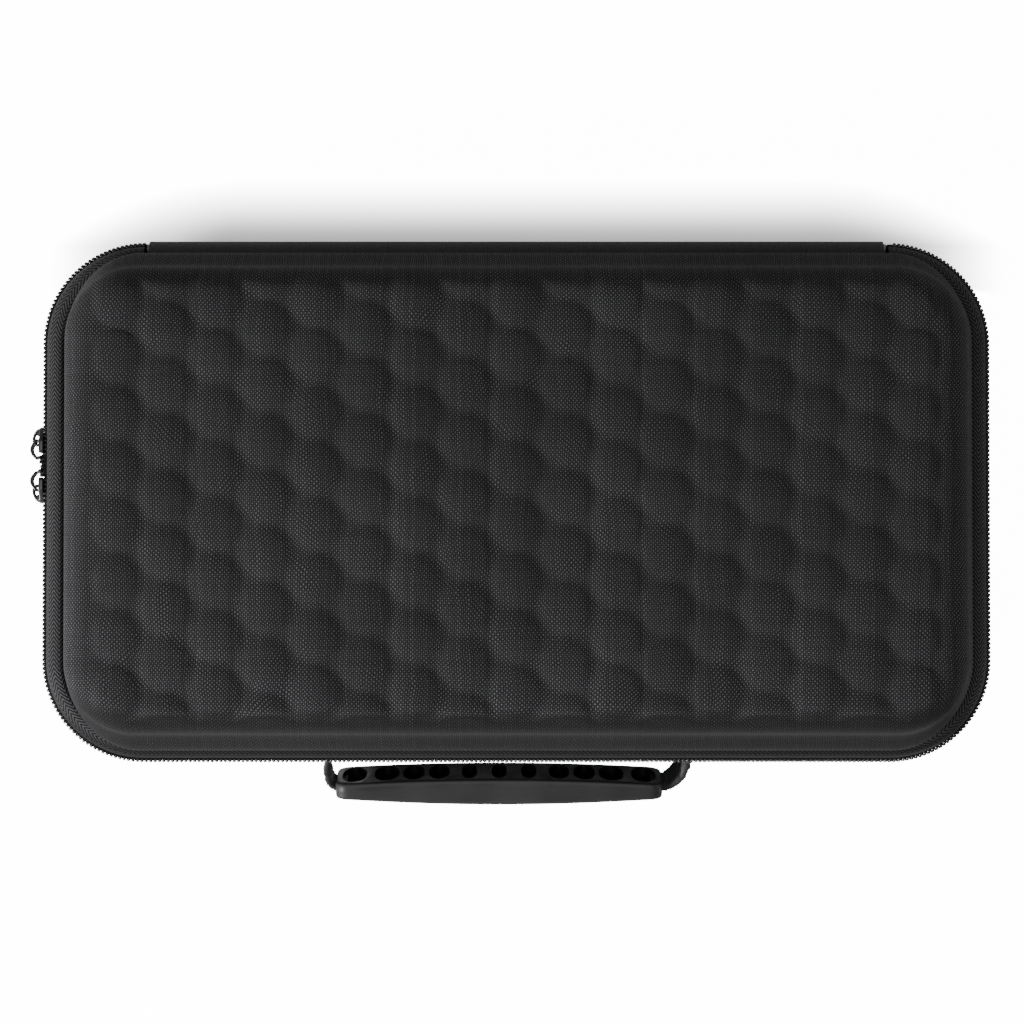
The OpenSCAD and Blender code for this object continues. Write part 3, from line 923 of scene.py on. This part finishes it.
def handle_place(x, out, up):
    """Frame of the drooping handle: along X, out from its turning line, and up."""
    y = -out * math.cos(DROOP) - up * math.sin(DROOP)
    z = -out * math.sin(DROOP) + up * math.cos(DROOP)
    return (x, TURN.y + y, TURN.z + z)


def grip_bow(a, c):
    """How far the face at a distance c lies further out, away from the grip's middle."""
    return (GRIP_BOW if c < CORE_IN + 1 * MM else LIP_BOW) * (a / GRIP_HALF) ** 2


def rounded_outline(half_l, half_h, radius, steps=8):
    points = []
    for turn, (sx, sy) in enumerate(((1, 1), (-1, 1), (-1, -1), (1, -1))):
        start = turn * math.pi / 2
        for a in arc_steps(start, start + math.pi / 2, steps):
            points.append((sx * (half_l - radius) + radius * math.cos(a),
                           sy * (half_h - radius) + radius * math.sin(a)))
    return points


def stacked(name, layers, place, material):
    """Closed solid through layers of ([(a, b), ...], c) with equal numbers of points."""
    count = len(layers[0][0])
    verts = [place(a, b, c) for outline, c in layers for a, b in outline]
    faces = [tuple(range(count)),
             tuple(range(len(layers) * count - 1, (len(layers) - 1) * count - 1, -1))]
    faces += skin(0, len(layers) - 1, count)
    return recalculate(piece(name, verts, faces, material, smooth=False))


def grip_place(a, b, c):
    return handle_place(GRIP_MIDDLE + a, c + grip_bow(a, c), b)


GRIP_CORNER = 4.5 * MM
# Distance from the middle and half length of each finger pocket
POCKETS = [(0, 2.8), (11, 2.9), (22.2, 3.8), (31.6, 4.0), (41.6, 4.6), (53.6, 4.6)]


def add_grip_core():
    """Stiff inner part, with a row of tall oval finger pockets in its inner face."""
    def layer(inset, c, steps=8):
        ring = rounded_outline(GRIP_HALF - inset, GRIP_TALL / 2 - inset, GRIP_CORNER - inset,
                               steps)
        points = []
        for (a0, b0), (a1, b1) in zip(ring, ring[1:] + ring[:1]):
            count = 40 if abs(a1 - a0) > 50 * MM else 1
            points += [(a0 + (a1 - a0) * i / count, b0 + (b1 - b0) * i / count)
                       for i in range(count)]
        return points, c
    core = stacked("grip_inner", [
        layer(0.9 * MM, CORE_IN), layer(0.3 * MM, CORE_IN + 0.2 * MM),
        layer(0, CORE_IN + 0.8 * MM), layer(0, CORE_LIP + 0.1 * MM),
        layer(1.8 * MM, CORE_LIP + 0.15 * MM), layer(1.8 * MM, CORE_LIP + 1.8 * MM)],
        grip_place, CORE_PLASTIC)
    cutters = []
    for middle, half_l in POCKETS:
        for sign in (-1, 1) if middle else (1,):
            tall = (9.4 if middle < 50 else 9.6) * MM
            ring = [(sign * middle * MM + half_l * MM * math.cos(t),
                     tall * math.copysign(abs(math.sin(t)) ** 0.8, math.sin(t)))
                    for t in arc_steps(0, 2 * math.pi, 40)[:-1]]
            small = [(sign * middle * MM + (a - sign * middle * MM) * 0.82, b * 0.9)
                     for a, b in ring]
            cutters.append(stacked("cutter", [
                (ring, CORE_IN - 1 * MM), (ring, CORE_IN + 2.6 * MM),
                (small, CORE_IN + 3.4 * MM)], grip_place, POCKET_PLASTIC_PAINTED_SHADE))
    cutter = join("cutters", cutters)
    cutter.data.materials.append(POCKET_PLASTIC_PAINTED_SHADE)
    # The cut pocket faces take the cutters' darker plastic, painted shade in the recesses.
    cut = core.modifiers.new("pockets", "BOOLEAN")
    cut.object = cutter
    cut.operation = "DIFFERENCE"
    cut.solver = "EXACT"
    cut.material_mode = "TRANSFER"
    bake(core)
    bpy.data.objects.remove(cutter)
    rounded(core, 0.25 * MM, 2, 50)
    settle(core, "handle", "grip_core", ["grip_core"])


def add_grip_cover():
    """Smooth bowed outer part: a loft of sections from end to end, hollow over the core."""
    columns, sides = 72, 24
    verts = []
    for i in range(columns + 1):
        a = -GRIP_HALF * math.cos(math.pi * i / columns)
        share = abs(a) / GRIP_HALF
        outer = COVER_OUT - (COVER_OUT - COVER_END) * share ** 2
        inner = CORE_LIP + grip_bow(a, CORE_LIP)
        corner = max(0.0, abs(a) - (GRIP_HALF - GRIP_CORNER))
        tall = GRIP_TALL / 2 - GRIP_CORNER + math.sqrt(
            max(0.0, GRIP_CORNER ** 2 - corner ** 2))
        close = math.sqrt(max(0.0, 1 - max(0.0, (share - 0.985) / 0.015) ** 2))
        outer = inner + (outer - inner) * (0.5 + 0.5 * close)
        groove = 1.7 * MM if abs(a) < GRIP_HALF - 3 * MM else 0.0
        for k in range(sides + 1):
            t = math.pi / 2 - math.pi * k / sides
            out = abs(math.cos(t)) ** 0.4
            up = math.copysign(abs(math.sin(t)) ** 0.3, math.sin(t))
            verts.append(handle_place(GRIP_MIDDLE + a, inner + (outer - inner) * out,
                                      up * tall * (0.97 + 0.03 * close)))
        edge = tall - 2.0 * MM
        for depth, up in ((0, -edge), (groove, -edge), (groove, edge), (0, edge)):
            verts.append(handle_place(GRIP_MIDDLE + a, inner + depth, up))
    ring = sides + 5
    cover = recalculate(piece("grip_outer", verts, skin(0, columns, ring, True), COVER_RUBBER))
    cover.data.set_sharp_from_angle(angle=math.radians(45))
    settle(cover, "handle", "grip_cover", ["grip_cover"])


def add_strap(name, route, replaces):
    """Webbing from inside the front wall to the grip, with its ribs as geometry."""
    line = curve_through(route, 24)
    lengths = run_along(line)
    across, rib = 12, 2.1 * MM
    verts, faces, uvs = [], [], []
    for i, (x, out, drawn) in enumerate(line):
        x0, out0, _ = line[max(i - 1, 0)]
        x1, out1, _ = line[min(i + 1, len(line) - 1)]
        run = math.hypot(x1 - x0, out1 - out0)
        nx, nout = -(out1 - out0) / run, (x1 - x0) / run
        ridge = 0.34 * MM * math.sin(2 * math.pi * lengths[i] / rib)
        hold = smooth_step(drawn)
        roll = max(0.0, drawn - 1) * DROOP
        for face in (1, -1):
            for k in range(across + 1):
                t = 2 * k / across - 1
                half = (WEB_THICK / 2 + ridge * face) * (1 - abs(t) ** 8 * 0.6)
                up = t * WEB_TALL / 2 * (0.93 + 0.07 * hold)
                a, b = x + nx * half * face, out + nout * half * face
                flat = Vector((a, TURN.y - b, TURN.z + up))
                drooped = Vector(handle_place(a, b, up))
                verts.append(flat.lerp(drooped, hold) - Vector((0, up * roll, 0)))
                uvs.append((lengths[i], up))
    wide = 2 * (across + 1)
    ring = list(range(across + 1)) + list(range(wide - 1, across, -1))
    for i in range(len(line) - 1):
        for j in range(len(ring)):
            a, b = ring[j], ring[(j + 1) % len(ring)]
            faces.append((i * wide + a, i * wide + b, (i + 1) * wide + b, (i + 1) * wide + a))
    faces.append(tuple(ring[::-1]))
    faces.append(tuple((len(line) - 1) * wide + k for k in ring))
    strap = recalculate(piece(name, verts, faces, WEBBING, uvs=uvs))
    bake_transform(strap)
    if replaces:
        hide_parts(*replaces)


def add_webbing():
    left, right = GRIP_MIDDLE - GRIP_HALF, GRIP_MIDDLE + GRIP_HALF
    path = 15.4 * MM
    add_strap("strap_left", [
        (-ANCHOR_X, -6.5 * MM, 0), (-ANCHOR_X, -2 * MM, 0), (-ANCHOR_X - 0.8 * MM, 1 * MM, 0.3),
        (left - 3.0 * MM, 6.5 * MM, 0.9), (left - 2.7 * MM, path - 3.4 * MM, 1.1),
        (left - 0.6 * MM, path - 0.2 * MM, 1), (left + 4 * MM, path, 1)], ["handle_webbing"])
    add_strap("strap_right", [
        (ANCHOR_X, -6.5 * MM, 0), (ANCHOR_X, -2 * MM, 0), (ANCHOR_X - 0.6 * MM, 1 * MM, 0.4),
        (right + 7.5 * MM, path - 6.2 * MM, 2.0), (right + 1.8 * MM, path - 1.0 * MM, 1.5),
        (right - 4 * MM, path, 1)], ())


# ---------------------------------------------------------------- contents
def paint(node, material):
    """Gives a CAD node that keeps its shape its material."""
    mesh = frame["nodes"][node].data
    mesh.materials.clear()
    mesh.materials.append(material)
    for polygon in mesh.polygons:
        polygon.material_index = 0


def paint_contents():
    for node in frame["nodes"]:
        if node.startswith("tips_"):
            paint(node, STEEL)
    for node, material in (
            ("tightening_keys", STEEL), ("tip_collars", BRASS), ("cable_connectors", BRASS),
            ("end_stoppers", STOPPER), ("needle_tray", TRAY_KNIT), ("tray_elastics", ELASTIC),
            ("handle_backing_plates", PLATE), ("handle_rivets", RIVET),
            ("handle_anchors", ELASTIC), ("zip_end_stops", TEETH)):
        paint(node, material)


def add_net():
    """The lid's pocket: a net of knitted yarn, hexagon by hexagon, and its edging."""
    low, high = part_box("mesh_pocket")
    cell = 1.9 * MM
    wide, tall = cell * math.sqrt(3), cell * 1.5
    net = bmesh.new()
    z = (low.z + high.z) / 2
    columns = int((high.x - low.x - 2 * MM) / wide)
    rows = int((high.y - low.y - 1 * MM) / tall)
    radius = RIM - WALL - 1.6 * MM
    for row in range(rows):
        for column in range(columns):
            x = low.x + 2 * MM + wide * (column + 0.5 * (row % 2) + 0.25)
            y = low.y + 1.6 * MM + tall * (row + 0.5)
            far = math.hypot(max(0, abs(x) - CX), max(0, abs(y) - CY))
            if far > radius - cell:
                continue
            corners = [net.verts.new((x + cell * math.sin(math.pi * k / 3),
                                      y + cell * math.cos(math.pi * k / 3), z))
                       for k in range(6)]
            net.faces.new(corners)
    bmesh.ops.remove_doubles(net, verts=net.verts, dist=0.05 * MM)
    mesh = bpy.data.meshes.new("lid_net")
    net.to_mesh(mesh)
    net.free()
    obj = linked("lid_net", mesh)
    mesh.materials.append(NET_YARN)
    yarn = obj.modifiers.new("yarn", "WIREFRAME")
    yarn.thickness = 0.55 * MM
    yarn.use_even_offset = False
    bake(obj)
    settle(obj, "lid", "pocket_mesh", ["mesh_pocket"])
    paint("pocket_edging", ELASTIC)


# ---------------------------------------------------------------- floor and light
def add_stage():
    reach = 12
    corners = [(-reach, -reach, 0), (reach, -reach, 0), (reach, reach, 0), (-reach, reach, 0)]
    piece("floor", corners, [(0, 1, 2, 3)], FLOOR)


def area_light(name, place, aim_height, size, power, tint):
    light = bpy.data.lights.new(name, "AREA")
    light.shape = "DISK"
    light.size = size
    light.energy = power
    light.color = tint
    obj = linked(name, light)
    obj.location = place
    aim = Vector((0, 0, aim_height)) - Vector(place)
    obj.rotation_euler = aim.to_track_quat("-Z", "Y").to_euler()


WORLD_LIGHT = 0.2
# Each lamp's name, place, height aimed at, size, power and tint
LAMPS = (("key", (-1.42, -0.85, 0.72), 0.05, 0.55, 52, (1, 1, 1)),
         ("right", (1.7, 0.1, 0.8), 0.05, 0.8, 5, (1, 1, 1)),
         ("overhead", (0.0, -0.12, 1.9), 0, 1.3, 7, (0.97, 0.97, 1)))


def add_light():
    world = bpy.data.worlds.new("studio")
    world.use_nodes = True
    background = world.node_tree.nodes["Background"]
    background.inputs["Color"].default_value = (1, 1, 1, 1)
    background.inputs["Strength"].default_value = WORLD_LIGHT
    bpy.context.scene.world = world
    for lamp in LAMPS:
        area_light(*lamp)


# Where the shade on the floor ends: behind the case, along X from its middle, and in front
SHADE_BACK, SHADE_SIDE, SHADE_FRONT = (0.098, 0.123), (0.108, 0.180), (0.088, 0.080)
SHADE_MIDDLE = 0.004
FLOOR_GLOW, SHADE_GLOW = 14, 0.38


def floor_material():
    """White floor, burnt out for the camera alone, with a shade painted behind the case."""
    graph = Graph("floor_paint")
    soft = graph.noise(4, 3)
    x, y, _ = graph.split(graph.place("Object"))
    back = graph.band(y, *SHADE_BACK)
    side = graph.band(graph.math("ABSOLUTE", graph.math("ADD", x, -SHADE_MIDDLE)), *SHADE_SIDE)
    lit = graph.math("ADD", back, graph.times(side, side))
    front = graph.band(y, *SHADE_FRONT)
    lit = graph.math("MINIMUM", graph.math("MAXIMUM", lit, front), 1)
    glow = graph.times(graph.math("POWER", lit, 2.6), FLOOR_GLOW)
    glow = graph.math("ADD", glow, SHADE_GLOW)
    seen = graph.nodes.new("ShaderNodeLightPath").outputs["Is Camera Ray"]
    graph.put(graph.shader.inputs["Emission Color"], (1, 1, 1, 1))
    graph.put(graph.shader.inputs["Emission Strength"], graph.times(glow, seen))
    return graph.finish(graph.blend(soft, grey(0.88, 1.03), grey(0.92, 1.03)), 0.9,
                        graph.bump(graph.noise(900, 2), 0.03 * MM, 0.2))


FLOOR = floor_material()

add_camera()
add_shells()
for side, owner in ((1, "lid"), (-1, "base")):
    add_tape(side, owner, owner + "_zip_tape")
    add_teeth(side, owner, owner + "_zip_coil")
add_hinge_cloth()
add_hinge_stitches()
add_bindings()
add_slider("rear", REAR_Y, -1)
add_slider("front", FRONT_Y, 1)
add_grip_core()
add_grip_cover()
add_webbing()
paint_contents()
add_net()
add_stage()
add_light()
